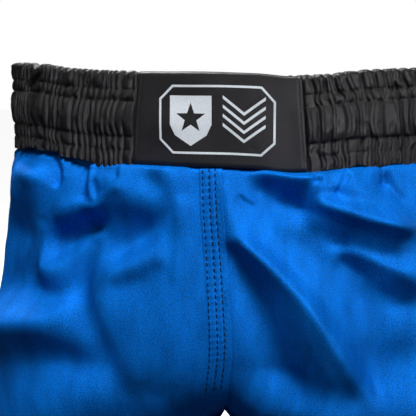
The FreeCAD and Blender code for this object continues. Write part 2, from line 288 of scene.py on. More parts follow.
def band_points(arc, down, out):
    """Points on the band: arc length from the front's middle, depth under its top edge, way outwards."""
    arc, down, out = np.broadcast_arrays(np.asarray(arc, float), down, out)
    angle = np.interp(arc % ROUND, OVAL_RUN, OVAL_TURN)
    nx, ny = OVAL[1] * np.sin(angle), -OVAL[0] * np.cos(angle)
    size = np.hypot(nx, ny)
    nx, ny = nx / size, ny / size
    x = OVAL[0] * np.sin(angle) + nx * out
    y = -OVAL[1] * np.cos(angle) + ny * out
    return np.stack([x, y, band_rise(from_front(arc)) - down], -1)


def patch_edge(down):
    """Half the width of the flat patch, at a depth under the top edge."""
    return PATCH_TOP + (PATCH_FOOT - PATCH_TOP) * np.clip(down, 0, BAND) / BAND


# ---------------------------------------------------------------- gathered casing

ROWS = (15.2, 24.5, 53.5, 64.6)  # depths of the sewn rows under the top edge
LAP = 3.0  # how far the casing goes in behind each edge of the patch


def gathers(phase, share, seed, long_share=0.6, sides=(0.5, 0.5)):
    """Ridges between pinched valleys, one for each unit of phase. Each valley starts deep at the sewn
    rows, where share is 0 and 1, and runs its own way into the puffed cloth between them. The sides say
    how far a valley reaches towards the ridge before it and towards the ridge after it."""
    rng = np.random.default_rng(7)
    count = 512
    depth = rng.uniform(0.6, 1.0, count)
    rng = np.random.default_rng(seed)
    long = rng.random(count) < long_share
    reach = [np.where(long, rng.uniform(0.8, 2.0, count), rng.uniform(0.2, 0.5, count)) for _ in range(2)]
    number = np.floor(phase).astype(int)
    part = phase - number

    def valley(index, away, width):
        index = index % count
        from_top = np.exp(-((share / reach[0][index]) ** 2))
        from_foot = np.exp(-(((1 - share) / reach[1][index]) ** 2))
        return depth[index] * np.maximum(from_top, from_foot) * np.clip(1 - away / width, 0, 1) ** 1.6

    return 1 - np.maximum(valley(number, part, sides[1]), valley(number + 1, 1 - part, sides[0]))


# The pitch of the gathers by arc length from the front's middle, and the count of them up to a place.
gather_pitch = smooth_curve(
    (-442, -300, -230, -60, 60, 230, 300, 442), (7.5, 7.5, 6.0, 5.7, 9.6, 9.0, 7.5, 7.5)
)
GATHER_AT = np.linspace(-ROUND / 2 - 60, ROUND / 2 + 60, 4001)
GATHER_COUNT = np.concatenate([[0], np.cumsum(np.diff(GATHER_AT) / gather_pitch(GATHER_AT[1:]))])


def casing_relief(arc, down):
    """How far the gathered cloth stands out from the band's smooth face."""
    # one value for each of the five stretches above, between and below the rows
    edges = (-6.0, *ROWS, BAND + 2.0)
    swell_by = (1.0, 0.6, 2.5, 0.7, 0.8)
    depth = (4.0, 3.2, 4.2, 3.2, 3.8)
    long_share = (0.95, 0.95, 0.45, 0.95, 0.9)
    half_depth = (0.3, 0.7, 0.2, 0.85, 0.85)  # of the smaller valleys between the others
    place = from_front(arc)
    side = np.sin(place / ROUND * TAU)
    warp = 1.7 * ripples(arc, 0 * down, 33, 10) + 0.5 * ripples(arc, 0.3 * down, 12, 30)
    lean = side * (0.42 * np.clip(down, -5, 28) + 0.12 * np.clip(down - 28, 0, 20))
    phase = np.interp(place - lean + warp, GATHER_AT, GATHER_COUNT)
    total = np.zeros(np.broadcast(arc, down).shape)
    for i, (top, foot) in enumerate(zip(edges, edges[1:])):
        share = np.clip((down - top) / (foot - top), 0, 1)
        inside = (down >= top) & (down < foot)
        bulge = 4 * share * (1 - share)
        swell = bulge**0.55
        bent = phase + 0.16 * ripples(arc, 0 * down, 30, 130 + i) * bulge
        fold = np.where(
            side > 0,
            gathers(bent, share, 50 + i, long_share[i], (0.62, 0.26)),
            gathers(bent, share, 60 + i, long_share[i], (0.3, 0.6)),
        )
        between = 1 - half_depth[i] * (1 - gathers(2 * bent + 0.3, share, 70 + i, 0.9, (0.55, 0.35)))
        fold = np.where(side > 0, np.minimum(fold, between), fold)
        slack = 0.3 * ripples(arc - lean, down * 0.6, 9, 80 + i) * bulge
        total += inside * (swell_by[i] * swell + depth[i] * (0.55 + 0.45 * swell) * (fold - 0.72) + slack)
    for row in ROWS:
        total -= 0.45 * np.exp(-(((down - row) / 0.8) ** 2))
    # it goes in behind the patch's edge
    clear = ease(np.abs(place) - patch_edge(down), -0.3, 2.2)
    return total * clear - 1.5 * (1 - clear)


def folded_band(name, start, end, share, relief, inner_depth, thickness=None, **more):
    """A sheet folded over the band's top edge: up its outer face, over, and down inside."""
    fold, half_gap = 3.0, 4.2  # depth of the fold, and half the way between its two sides
    down_out = np.linspace(BAND, fold, 62)
    turn = np.linspace(0, np.pi, 8)[1:-1]
    down_in = np.linspace(fold, inner_depth, 12)
    down = np.concatenate([down_out, fold - fold * np.sin(turn), down_in])
    out = np.concatenate([0 * down_out, half_gap * (np.cos(turn) - 1), 0 * down_in - 2 * half_gap])
    keep = np.concatenate([0 * down_out + 1, np.cos(turn), 0 * down_in - 0.4])
    arc = start(down)[:, None] + (end(down) - start(down))[:, None] * share[None]
    grid_down = np.broadcast_to(down[:, None], arc.shape)
    lift = relief(arc, grid_down)
    points = band_points(arc, grid_down, out[:, None] + keep[:, None] * lift)
    points[..., 2] += 0.5 * (lift - lift.mean()) * np.exp(-((grid_down / 4.5) ** 2))
    points[..., 2] += foot_rise(from_front(arc)) * np.exp(-(((grid_down - BAND) / 7) ** 2))
    travel = np.concatenate([[0], np.cumsum(np.hypot(np.diff(down), np.diff(out)))])
    uv = np.stack([arc, np.broadcast_to(travel[:, None], arc.shape)], -1)
    outward = unit(points * np.array([1, 4, 0])) * keep[:, None, None]
    return grid_object(name, points, thickness, uv, outward, **more)


def casing():
    """The gathered casing. Its columns are closer together at the front than at the back."""
    whole = ROUND - 2 * (patch_edge(0) - LAP)
    fine = np.arange(0, 165, 0.56) / whole
    coarse = np.linspace(fine[-1], 1 - fine[-1], 430)[1:-1]
    return folded_band(
        "waistband_casing_cloth",
        lambda down: patch_edge(down) - LAP,
        lambda down: ROUND - patch_edge(down) + LAP,
        np.concatenate([fine, coarse, 1 - fine[::-1]]),
        casing_relief,
        BAND,
        node="waistband_casing",
        slot="satin_black",
    )


def slab(name, start, end, top, foot, outer, inner, cols, rows, bulge=None, **more):
    """A piece of the band's own curve between two depths and two offsets, with an optional bulge."""
    down = np.linspace(top, foot, rows)
    share = np.linspace(0, 1, cols)
    arc = start(down)[:, None] + (end(down) - start(down))[:, None] * share[None]
    grid_down = np.broadcast_to(down[:, None], arc.shape)
    lift = bulge(arc, grid_down) if bulge else 0
    points = band_points(arc, grid_down, outer + lift)
    outward = unit(band_points(arc, grid_down, 1) - band_points(arc, grid_down, 0))
    uv = np.stack([arc, grid_down], -1)
    return grid_object(name, points, np.full(arc.shape, outer - inner), uv, outward, **more)


# ---------------------------------------------------------------- flat patch

FACE = 0.9  # how far the patch's face stands proud of the band's smooth face


def patch_relief(arc, down):
    """The patch stands nearly flat, with its edges turned under and faint waves in the satin."""
    edge = patch_edge(down) - np.abs(from_front(arc))
    lift = FACE - 1.0 * np.exp(-((edge / 1.1) ** 2))
    lift = lift - 0.35 * np.exp(-(((edge - 3.2) / 0.9) ** 2))
    lift = lift + 0.35 * ripples(arc, down * 1.6, 70, 5) * ease(edge, 2, 14)
    # its lower corner on the wearer's left stands up, beside a small dent, and its foot turns in
    corner = np.exp(-(((arc - 66) / 9) ** 2 + ((down - 70) / 8) ** 2))
    dent = np.exp(-(((arc - 71) / 2.2) ** 2 + ((down - 68) / 3) ** 2))
    return lift + 0.9 * corner - 1.2 * ease(down, BAND - 3.5, BAND) - 0.9 * dent


def front_patch():
    """The patch's satin face, its buckram, and its lining."""
    cols = 190
    face = folded_band(
        "front_patch_satin", lambda down: -patch_edge(down), patch_edge, np.linspace(0, 1, cols),
        patch_relief, 13.0, np.full((80, cols), 0.7), node="front_patch_face", slot="satin_black",
    )
    middle = slab(
        "front_patch_buckram", lambda down: -patch_edge(down) + 3, lambda down: patch_edge(down) - 3,
        3.5, BAND - 1, -1.2, -3.4, 60, 20, node="front_patch_stiffener", slot="stiffener",
    )
    lining = slab(
        "front_patch_back", lambda down: -patch_edge(down), patch_edge,
        11.0, BAND, -4.4, -6.2, 80, 30, node="front_patch_lining", slot="lining_black",
    )
    return face, middle, lining


# ---------------------------------------------------------------- emblem


def emblem():
    """A plain transfer: a thin frame, a shield with an open star, and four chevrons."""

    def box_outline(wide, tall, corner):
        return [
            (-wide + corner, -tall), (wide - corner, -tall), (wide, -tall + corner), (wide, tall - corner),
            (wide - corner, tall), (-wide + corner, tall), (-wide, tall - corner), (-wide, -tall + corner),
        ]

    shield = [(-38, 19), (-4, 19), (-4, -4), (-8, -12.5), (-21, -21), (-34, -12.5), (-38, -4)]
    star = []
    for i in range(10):
        reach = 12.5 if i % 2 == 0 else 5.0
        turn = np.pi / 2 + i * np.pi / 5
        star.append((-21 + reach * np.cos(turn), 1 + reach * np.sin(turn)))
    chevrons = []
    for top in (19.5, 12.3, 5.1, -2.1):
        upper = [(5, top), (22, top - 13), (39, top)]
        chevrons.append(upper + [(x, y - 2.6) for x, y in upper[::-1]])
    outlines = [box_outline(47, 27.5, 11), box_outline(45.2, 25.7, 9.95), shield, star, *chevrons]
    curve = bpy.data.curves.new("emblem_outline", "CURVE")
    curve.dimensions, curve.fill_mode, curve.extrude = "2D", "BOTH", 0.06
    for outline in outlines:
        spline = curve.splines.new("POLY")
        spline.points.add(len(outline) - 1)
        for point, (x, y) in zip(spline.points, outline):
            point.co = (x, y, 0, 1)
        spline.use_cyclic_u = True
    flat = bpy.data.objects.new("emblem_flat", curve)
    bpy.context.scene.collection.objects.link(flat)
    mesh = bpy.data.meshes.new_from_object(flat)
    bpy.data.objects.remove(flat)
    work = bmesh.new()
    work.from_mesh(mesh)
    bmesh.ops.remove_doubles(work, verts=work.verts, dist=1e-4)
    for axis, low, high in ((0, -46, 47), (1, -26, 27)):
        for at in np.arange(low, high, 3.0):
            normal = [0, 0, 0]
            normal[axis] = 1
            co = [0, 0, 0]
            co[axis] = at
            geometry = list(work.verts) + list(work.edges) + list(work.faces)
            bmesh.ops.bisect_plane(work, geom=geometry, plane_co=co, plane_no=normal, dist=1e-5)
    work.verts.index_update()
    flat_points = np.array([v.co for v in work.verts])
    faces = [[v.index for v in f.verts] for f in work.faces]
    work.free()
    arc, down = flat_points[:, 0] - 1, 38 - flat_points[:, 1]
    out = patch_relief(arc, down) + 0.1 + flat_points[:, 2]
    points = band_points(arc, down, out)
    return make_object(
        "emblem_transfer", points, faces, uv=flat_points[:, :2], smooth=False,
        node="emblem_print", slot="print_white",
    )


# ---------------------------------------------------------------- body skin

LEVELS = (-BAND, -120, -165, -210, -255, CROTCH, -325, -360, -410, -450, HEM)
OUTER = smooth_curve(LEVELS, (194, 202, 211, 219, 228, 236, 240, 246, 254.5, 261, 268))
INNER = smooth_curve(LEVELS, (-194, -202, -188, -134, -55, 0, 11, 15.5, 17, 17.5, 18))
DEPTH = smooth_curve(LEVELS, (65, 78, 89, 96, 99, 98.5, 97.5, 95.5, 93, 90.5, 88))


def row_levels():
    """Levels of the rows of a panel: close together where folds are fine, at the crotch and at the hem."""
    top, arch_start = 5 - BAND, -232
    upper = np.linspace(top, arch_start, 160)[:-1]
    arch = CROTCH - (CROTCH - arch_start) * (1 - np.linspace(0, 1, 36)) ** 1.35
    leg = np.linspace(CROTCH, HEM + 30, 46)[1:-1]
    return np.concatenate([upper, arch, leg, np.linspace(HEM + 30, HEM, 22)])


def skin(levels, shares):
    """Points of the wearer's left front quarter of the skin, from the side seam to the centre."""
    points = np.zeros((len(levels), len(shares), 3))
    for i, level in enumerate(levels):
        outer, inner, depth = OUTER(level), INNER(level), DEPTH(level)
        middle, half = (outer + inner) / 2, (outer - inner) / 2
        end = np.arccos(np.clip(-middle / half, -1, 1)) if level > CROTCH else np.pi
        turn = np.linspace(0, end, 500)
        x, y = middle + half * np.cos(turn), -depth * np.sin(turn)
        steep = middle / half * depth / (half * max(np.sin(end), 0.25))
        steep = steep * ease(level, CROTCH + 5, CROTCH + 60)
        y = y - steep * (np.sqrt(x * x + 18**2) - np.abs(x)) * ease(-y, 20, 60)
        run = np.concatenate([[0], np.cumsum(np.hypot(np.diff(x), np.diff(y)))])
        at = shares * run[-1]
        points[i, :, 0], points[i, :, 1] = np.interp(at, run, x), np.interp(at, run, y)
        points[i, :, 2] = level
    return points


def column_shares():
    """Shares of the way from the side seam to the centre, close together by the seams and in front."""
    parts = [(0, 0.05, 9), (0.05, 0.34, 30), (0.34, 0.92, 102), (0.92, 1, 31)]
    return np.concatenate([np.linspace(a, b, n)[:-1] for a, b, n in parts] + [[1.0]])


# Folds of the front, drawn as strokes on the front elevation seen from the eye. Each stroke has its
# points from the band's top middle, how far the cloth along it turns towards the light from above (away
# from it, where negative), and its half width at its start and at its end.
TONES = [
    # wearer's right: gathers
    ([(-152, -73), (-142, -77), (-133, -80)], 1.4, 4.5, 4),
    ([(-151, -79), (-157, -92)], 0.4, 3, 4),
    ([(-114, -75), (-119, -84), (-127, -100), (-134, -117), (-139, -134), (-138, -150)], 1.5, 5.5, 3.2),
    ([(-108, -80), (-110, -95), (-117, -103)], 0.6, 4.5, 5),
    ([(-98, -79), (-98.5, -92), (-97, -101)], 0.9, 1.5, 1.8),
    ([(-103, -104), (-95, -105.5), (-90, -102), (-87.5, -96)], 1.0, 2.4, 1.8),
    ([(-95, -80), (-84, -80.5)], 0.6, 3, 3),
    ([(-80, -79), (-40, -78.5), (-2, -78.5)], 0.2, 1.8, 1.8),
    ([(-80, -86), (-62, -87), (-50, -93)], 0.15, 5, 5),
    ([(-28, -102), (-38, -117), (-52, -131), (-66, -143), (-82, -152)], 1.0, 4.5, 7),
    ([(-102, -125), (-110, -132), (-119, -140), (-130, -149)], 2.0, 3.6, 6),
    ([(-172, -188), (-148, -190), (-134, -188), (-120, -181)], 1.5, 10, 7),
    ([(-178, -172), (-152, -176), (-136, -184)], 1.1, 10, 7),
    ([(-153, -136), (-154, -160), (-152, -172)], 0.4, 5, 6),
    ([(-120, -155), (-117, -176)], 0.4, 7, 8),
    ([(-18, -96), (-21, -140), (-24, -190), (-27, -230)], 0.25, 12, 14),
    ([(-144, -90), (-149, -102), (-158, -115)], -1.4, 6, 9),
    ([(-127.5, -72), (-127.5, -81)], -0.9, 1.8, 1.8),
    ([(-103, -73), (-103.5, -84), (-105.5, -97)], -1.0, 2.6, 3),
    ([(-94, -86), (-91, -94)], -0.8, 1.8, 2.2),
    ([(-80, -77), (-77, -84)], -0.8, 1.8, 1.8),
    ([(-123, -120), (-112, -114), (-99, -115), (-86, -110), (-70, -108), (-54, -112),
      (-42, -117)], -1.1, 5.5, 8.5),
    ([(-131, -127), (-124, -121)], -0.6, 3, 4),
    ([(-94, -111), (-86, -101), (-78, -96)], -1.2, 4, 3.5),
    ([(-96, -122), (-80, -126), (-58, -124)], -0.7, 7, 8),
    ([(-48, -82), (-38, -92), (-36, -106)], -0.9, 6, 6),
    ([(-140, -126), (-143, -140), (-144, -152)], -0.7, 1.6, 2.5),
    ([(-146, -157), (-140, -168), (-128, -176)], -0.5, 3, 5.5),
    ([(-101, -136), (-105, -150), (-106, -165), (-103, -180), (-97, -195), (-91, -210), (-83, -230),
      (-76, -252)], -0.9, 5, 6.5),
    ([(-78, -163), (-62, -160), (-50, -152)], -0.8, 6, 5),
    ([(-172, -213), (-145, -212), (-125, -214), (-108, -224)], -1.0, 10, 9),
    ([(-33, -117), (-34.5, -140), (-36, -165)], -0.4, 2, 2),
    ([(-82, -190), (-72, -220)], -0.25, 12, 12),
    # wearer's left
    ([(2, -78.5), (40, -79.5), (72, -81.5)], 0.5, 1.8, 1.8),
    ([(12, -88), (18, -110), (28, -130)], 0.45, 9, 9),
    ([(26, -136), (43, -150), (70, -176), (86, -196), (106, -226), (126, -262)], 1.0, 5, 7),
    ([(46, -134), (66, -156), (90, -184), (118, -222)], -0.1, 9, 10),
    ([(72, -126), (80, -150), (94, -180), (118, -218)], -0.1, 8, 9),
    ([(124, -178), (138, -216)], -1.0, 12, 14),
    ([(84, -88), (81, -100)], 0.8, 3, 3),
    ([(80, -104), (95, -106), (112, -111), (136, -119)], 1.0, 3.5, 6),
    ([(108, -84), (118, -92), (134, -106)], 0.7, 8, 9),
    ([(92, -139), (112, -144), (140, -155)], 0.6, 2.5, 3),
    ([(60, -112), (70, -119)], 0.35, 6, 6),
    ([(36, -86), (52, -90), (70, -93)], -1.8, 6, 7),
    ([(52, -99), (72, -102)], -1.0, 5, 4),
    ([(18, -98), (27, -104)], -1.0, 1.3, 1.3),
    ([(77, -78), (77, -86)], -1.0, 3, 3),
    ([(68, -104), (90, -114), (112, -122), (142, -129)], -1.5, 3, 3.5),
    ([(78, -121), (104, -131), (134, -139)], -1.4, 8, 8),
    ([(102, -146), (120, -156), (146, -173)], -2.0, 4, 8),
    ([(14, -138), (26, -152), (44, -176), (56, -200), (66, -225), (78, -252)], -2.2, 4.5, 19),
    ([(18, -140), (34, -152), (59, -177), (76, -200), (93, -228), (110, -256)], -0.7, 2.5, 5),
    ([(40, -104), (50, -130), (68, -160), (88, -190), (110, -218)], -0.3, 4, 5),
    ([(98, -78), (101, -86), (95, -95)], -0.7, 1.8, 1.8),
    ([(128, -78), (129, -88)], -0.9, 3, 2.5),
    ([(130, -86), (140, -99)], -0.6, 2, 2),
    ([(84, -95), (104, -98), (122, -103)], -0.5, 3, 4),
    ([(60, -128), (74, -140), (92, -152), (112, -168)], -0.5, 5, 7),
    ([(3, -95), (5, -135)], -0.4, 2.5, 3),
]

# Creases and ridges that run down the cloth: points, height, half width at the start and at the end.
RIDGES = [
    ([(-103, -72), (-103.5, -84), (-105, -97)], -4.6, 2.6, 2.8),
    ([(-98, -76), (-98.5, -92), (-97, -100)], 2.4, 1.5, 1.8),
    ([(-127, -70), (-124.5, -79), (-126, -88)], -5.5, 2.0, 1.9),
    ([(-122, -72), (-120.5, -82)], 1.6, 1.6, 1.8),
    ([(-78, -76), (-77, -83)], -2.4, 1.8, 1.6),
    ([(-101, -136), (-104, -150), (-105, -165), (-102, -180), (-96, -195), (-90, -210), (-82, -230),
      (-76, -250)], -2.9, 4.6, 7.0),
    ([(-139, -117), (-143, -131), (-145, -153)], -1.5, 2.3, 2.8),
    ([(77, -76), (77, -87)], -4.6, 3.2, 2.2),
    ([(101, -76), (99, -86), (93, -96)], -3.4, 1.9, 2.4),
    ([(130, -76), (130, -88)], -4.4, 2.6, 2.2),
    ([(131, -84), (141, -101)], -2.0, 1.8, 2.2),
]


def stroke_field(strokes, x, z):
    """Soft strokes added together, at places on the front elevation."""
    total = np.zeros(x.shape)
    for points, height, wide_a, wide_b in strokes:
        line = np.array(points, float)
        knots = np.concatenate([[0], np.cumsum(np.linalg.norm(np.diff(line, axis=0), axis=1))])
        fine = np.linspace(0, knots[-1], 25)
        line = np.stack([np.interp(fine, knots, line[:, 0]), np.interp(fine, knots, line[:, 1])], 1)
        for _ in range(3):
            line[1:-1] = (line[:-2] + 2 * line[1:-1] + line[2:]) / 4
        reach = 3.2 * max(wide_a, wide_b) + 4
        near = (
            (x > line[:, 0].min() - reach) & (x < line[:, 0].max() + reach)
            & (z > line[:, 1].min() - reach) & (z < line[:, 1].max() + reach)
        )
        if not near.any():
            continue
        px, pz = x[near], z[near]
        best, share = np.full(px.shape, 1e9), np.zeros(px.shape)
        for i in range(len(line) - 1):
            a, d = line[i], line[i + 1] - line[i]
            t = np.clip(((px - a[0]) * d[0] + (pz - a[1]) * d[1]) / (d @ d), 0, 1)
            away = (px - a[0] - t * d[0]) ** 2 + (pz - a[1] - t * d[1]) ** 2
            closer = away < best
            best = np.where(closer, away, best)
            share = np.where(closer, (i + t) / (len(line) - 1), share)
        width = wide_a + (wide_b - wide_a) * share
        total[near] += height * np.exp(-0.5 * best / width**2)
    return total


def fold_height():
    """The relief whose slope towards the light follows the strokes, with its ridges and creases."""
    across, down = np.arange(-240, 240.0), np.arange(-300, -20.0)
    x, z = np.meshgrid(across, down)
    tone = np.clip(stroke_field(TONES, x, z), -1.9, 1.7)
    kx = np.fft.rfftfreq(len(across))[None] * TAU
    kz = np.fft.fftfreq(len(down))[:, None] * TAU
    towards = kx * LIGHT_SIDE + kz * LIGHT_UP
    aside = kz * LIGHT_SIDE - kx * LIGHT_UP
    slopes = 1j * towards * np.fft.rfft2(tone) * SLOPE
    height = np.fft.irfft2(slopes / (towards**2 + SPREAD * aside**2 + HOLD**2), tone.shape)
    # where the relief falls behind the band along its foot, the cloth is brought forward again
    foot = height[np.searchsorted(down, -BAND - 4)]
    near = np.exp(-0.5 * ((across[:, None] - across[None]) / 12) ** 2)
    behind = np.maximum(1.2 - near @ foot / near.sum(axis=1), 0)
    height = height + behind[None] * np.exp(-np.maximum(-BAND - z, 0) / 28)
    return across, down, height + 0.9 * stroke_field(RIDGES, x, z)


LIGHT_SIDE, LIGHT_UP = 0.42, 0.91  # the way to the light on the front elevation
SLOPE = 0.86  # slope of the cloth along a stroke of full tone
SPREAD, HOLD = 0.2, 1 / 42  # how far the relief evens out sideways and over a distance
ACROSS, DOWN, HEIGHT = fold_height()


def fold_field(x, z):
    """How far the folds of the front stand out at places on the front elevation."""
    i = np.clip(z - DOWN[0], 0, len(DOWN) - 1.001)
    j = np.clip(x - ACROSS[0], 0, len(ACROSS) - 1.001)
    a, b = i.astype(int), j.astype(int)
    u, v = i - a, j - b
    top = HEIGHT[a, b] * (1 - v) + HEIGHT[a, b + 1] * v
    foot = HEIGHT[a + 1, b] * (1 - v) + HEIGHT[a + 1, b + 1] * v
    return top * (1 - u) + foot * u


def around_waist(share, front, left):
    """Arc length round the waist from the front's middle that a share of a panel hangs from."""
    arc = QUARTER * (1 - share) if front else QUARTER * (1 + share)
    return arc if left else -arc


SHIFT = smooth_curve((-70, -110, -160, -220, -262, -300), (1.5, 4.5, 9.5, 14, 9, 0))


def body_relief(points, share, front, left):
    """How far the hanging cloth stands out from the skin, all over one panel."""
    level = points[..., 2]
    arc = around_waist(share[None] + 0 * level, front, left)
    below = -BAND - level
    # the drawn folds take over from the others in the middle of the front
    drawn = (1 - ease(np.abs(arc), 172, 215)) * (1 - ease(-level, 215, 262)) if front else 0 * level
    free = 1 - drawn
    # gathers under the band: valleys that run down from the stitches, each to its own depth
    warp = 4 * ripples(arc, below * 0.2, 40, 90) + 1.5 * ripples(arc, below * 0.5, 15, 91)
    big = gathers((arc + warp) / 14.5, np.clip(below / 150, 0, 0.5), 92) - 0.75
    small = gathers((arc + 0.6 * warp) / 6.2, np.clip(below / 60, 0, 0.5), 93) - 0.75
    fade = np.exp(-np.maximum(below, 0) / 75)
    lift = free * (6.0 * fade * big + 1.6 * np.exp(-np.maximum(below, 0) / 16) * small)
    # broad flutes of the legs, which deepen towards the hem
    half = (OUTER(level) - INNER(level)) / 2
    middle = (OUTER(level) + INNER(level)) / 2
    theta = np.arctan2(-points[..., 1] / DEPTH(level), (np.abs(points[..., 0]) - middle) / half)
    rng = np.random.default_rng(7 if left else 8)
    grow = ease(-level, 150, 470) * free
    centre = np.where(level > CROTCH, ease(np.abs(points[..., 0]), 4, 60), 1)
    for waves, height in ((2, 3.0), (3, 4.6), (5, 4.2), (8, 2.4)):
        phase = rng.uniform(0, TAU)
        twist = rng.uniform(-1, 1) * 0.9 * (level - HEM) / 200
        lift = lift + grow * centre * height * np.cos(waves * theta + phase + twist)
    # slack creases
    side = 1 if left else -1
    crease = ripples(points[..., 0] + side * 0.5 * level, level * 0.8 + points[..., 1], 75, 17)
    lift = lift + 1.8 * crease * ease(-level, 110, 200) * centre * free
    fine = ripples(1.2 * points[..., 0] + 0.2 * level, 0.45 * level - 0.3 * points[..., 0], 20, 23, 24)
    lift = lift + 0.16 * fine * ease(-level, 84, 110) * (0.1 + 0.9 * free)
    return lift


PITCH = 5.1  # of the stitches of every seam
CENTRE_ROWS = (4.3, 9.1, 14.6)  # distances of the rows from the centre
SIDE_ROWS = (2.5, 7.6)  # from the side seam, and from the inseam
HEM_ROWS = (HEM + 18, HEM + 23.1)


def seam_strip(distance, level):
    """The felled seam along the centre: a double strip with its rows of stitches drawn in."""
    strip = 0.9 * (1 - ease(distance, 15.5, 17.5))
    draw = 0.8 + 0.2 * np.cos(TAU * level / PITCH)
    for row in CENTRE_ROWS:
        strip = strip - draw * 0.5 * np.exp(-(((distance - row) / 1.1) ** 2))
    puff = 0.1 * np.cos(TAU * level / PITCH + np.pi) * np.exp(-(((distance - 9) / 9) ** 2))
    return strip + puff


class Panel:
    """One of the four cloth panels: its points, and where to find a place on them."""

    def __init__(self, name, front, left, node):
        self.front, self.left = front, left
        # the wearer's right front panel laps over the left one, and the left back over the right
        self.laps = front != left
        self.levels, self.shares = row_levels(), column_shares()
        base, normal, outward = self.on_skin()
        level = base[..., 2]
        hung = self.hang(base)
        lift = self.cloth_lift(base, hung, normal)
        if self.laps:
            over = 1.6 * np.exp(-((self.from_centre / 3) ** 2)) * (level > CROTCH + 20)
            hung[..., 0] += over if front else -over
        points = hung + normal * lift[..., None]
        # vents: the edges part in a narrow wedge from the hem up
        open_by = 12.5 * np.clip((HEM + VENT - level) / VENT, 0, 1) ** 0.8
        away = open_by * np.exp(-self.from_side / 45)
        points[..., 1] += away * (-1 if front else 1)
        self.points = points
        self.normal = grid_normals(points, outward)
        thick = 0.55 + 1.0 * (1 - ease(level - HEM, 23.5, 25))  # the hem is folded twice
        uv = np.stack([self.from_centre * (1 if left else -1), level], -1)
        self.obj = grid_object(name, points, thick, uv, outward, node=node, slot="satin_blue")

    def on_skin(self):
        """Points of the panel's quarter of the skin, their normals, and the ways that point outwards."""
        base = skin(self.levels, self.shares)
        run = np.linalg.norm(np.diff(base, axis=1), axis=2)
        self.from_side = np.concatenate([np.zeros((len(base), 1)), np.cumsum(run, axis=1)], axis=1)
        self.from_centre = self.from_side[:, -1:] - self.from_side
        if not self.left:
            base[..., 0] *= -1
        if not self.front:
            base[..., 1] *= -1
        level = base[..., 2]
        middle = np.where(level > CROTCH, 0, (OUTER(level) + INNER(level)) / 2 * (1 if self.left else -1))
        outward = np.stack([base[..., 0] - middle, base[..., 1], 0 * level], -1)
        normal = grid_normals(base, outward)
        # along a seam the normals of its two panels agree
        normal[:, -1][self.levels > CROTCH, 0] = 0
        normal[:, -1][self.levels <= CROTCH, 1] = 0
        normal[:, 0, 1] = 0
        return base, unit(normal), outward

    def hang(self, base):
        """The skin moved sideways, and up with the band that it hangs from."""
        level = base[..., 2]
        top = band_rise(from_front(around_waist(self.shares, self.front, self.left)))[None]
        up = top * (1 - ease(-level, 90, 210))
        drift = SHIFT(level) * (1 - ease(np.abs(base[..., 0]), 30, 150)) * (1 if self.front else 0.3)
        return base + np.stack([drift, 0 * drift, up], -1)

    def cloth_lift(self, base, hung, normal):
        """How far the cloth stands out from the skin, with its folds and what its seams draw in."""
        level = base[..., 2]
        below = np.maximum(-BAND - level, 0)
        lift = body_relief(base, self.shares, self.front, self.left)
        if self.front:
            x, z = elevation_view(hung)
            facing = ease(normal @ -forward, 0.3, 0.72) * (1 - ease(-level, 235, 275))
            lift = lift + facing * fold_field(x, z)
        # it is full under the band, but neither stands past the casing nor falls far behind it
        lift = lift + 3.4 * ease(below, -1, 5) * (1 - 0.8 * ease(below, 8, 70))
        room = 1.1 + 2.4 * below
        lift = room - 1.2 * np.logaddexp(0, (room - lift) / 1.2)
        lift = np.maximum(lift, -2.4 - 0.33 * below - 1.2 * np.maximum(below - 9, 0))
        # its top edge goes in behind the casing
        lift = lift - 2.6 * ease(level, -BAND - 1, -BAND + 1.5)
        if self.laps:
            lift = lift + (level > CROTCH + 30) * seam_strip(self.from_centre, level)
        else:
            lift = lift - 0.5 * np.exp(-((self.from_centre / 4) ** 2)) * (level > CROTCH + 20)
        if self.front:
            for row in SIDE_ROWS:
                lift = lift - 0.45 * np.exp(-(((self.from_side - row) / 1.2) ** 2))
        for row in HEM_ROWS:
            lift = lift - 0.45 * np.exp(-(((level - row) / 1.3) ** 2))
        return lift

    def at(self, level, distance, from_centre=True):
        """The place and normal at a level and a distance from the centre or from the side seam."""
        table = self.from_centre[:, ::-1] if from_centre else self.from_side
        rows = len(self.levels)
        i = np.interp(-np.asarray(level), -self.levels, np.arange(rows))
        low = np.clip(i.astype(int), 0, rows - 2)
        part = (i - low)[:, None]
        places, normals = [], []
        for r in (low, low + 1):
            j = np.array([np.interp(d, table[k], np.arange(table.shape[1])) for d, k in zip(distance, r)])
            if from_centre:
                j = table.shape[1] - 1 - j
            a = np.clip(j.astype(int), 0, table.shape[1] - 2)
            t = (j - a)[:, None]
            places.append(self.points[r, a] * (1 - t) + self.points[r, a + 1] * t)
            normals.append(self.normal[r, a] * (1 - t) + self.normal[r, a + 1] * t)
        return (
            places[0] * (1 - part) + places[1] * part,
            unit(normals[0] * (1 - part) + normals[1] * part),
        )


def stitch_run(panel, levels, distances, from_centre, level_step=1.2, distance_step=0.0):
    """Middles, directions and normals of stitches at places on a panel."""
    place, normal = panel.at(levels, distances, from_centre)
    ahead, _ = panel.at(levels - level_step, distances + distance_step, from_centre)
    behind, _ = panel.at(levels + level_step, distances - distance_step, from_centre)
    return place, ahead - behind, normal


def panel_beads(name, runs, length, radius):
    """The thread of one seam, which may have several rows."""
    middles, along, outward = map(np.concatenate, zip(*runs))
    beads(
        f"{name}_thread", middles, along, outward, length, radius,
        node=f"{name}_stitches", slot="thread_navy",
    )


def seam_beads(name, panel, levels, rows, lag, widen=1.0, from_centre=True):
    """Stitches down several rows of a seam, each row a little lower than the last."""
    rng = np.random.default_rng(1)
    runs = []
    for k, row in enumerate(rows):
        jitter = rng.uniform(-0.25, 0.25, len(levels))
        distances = row * (widen + 0 * levels)
        runs.append(stitch_run(panel, levels - lag * k + jitter, distances, from_centre))
    panel_beads(name, runs, 3.5, 0.55)


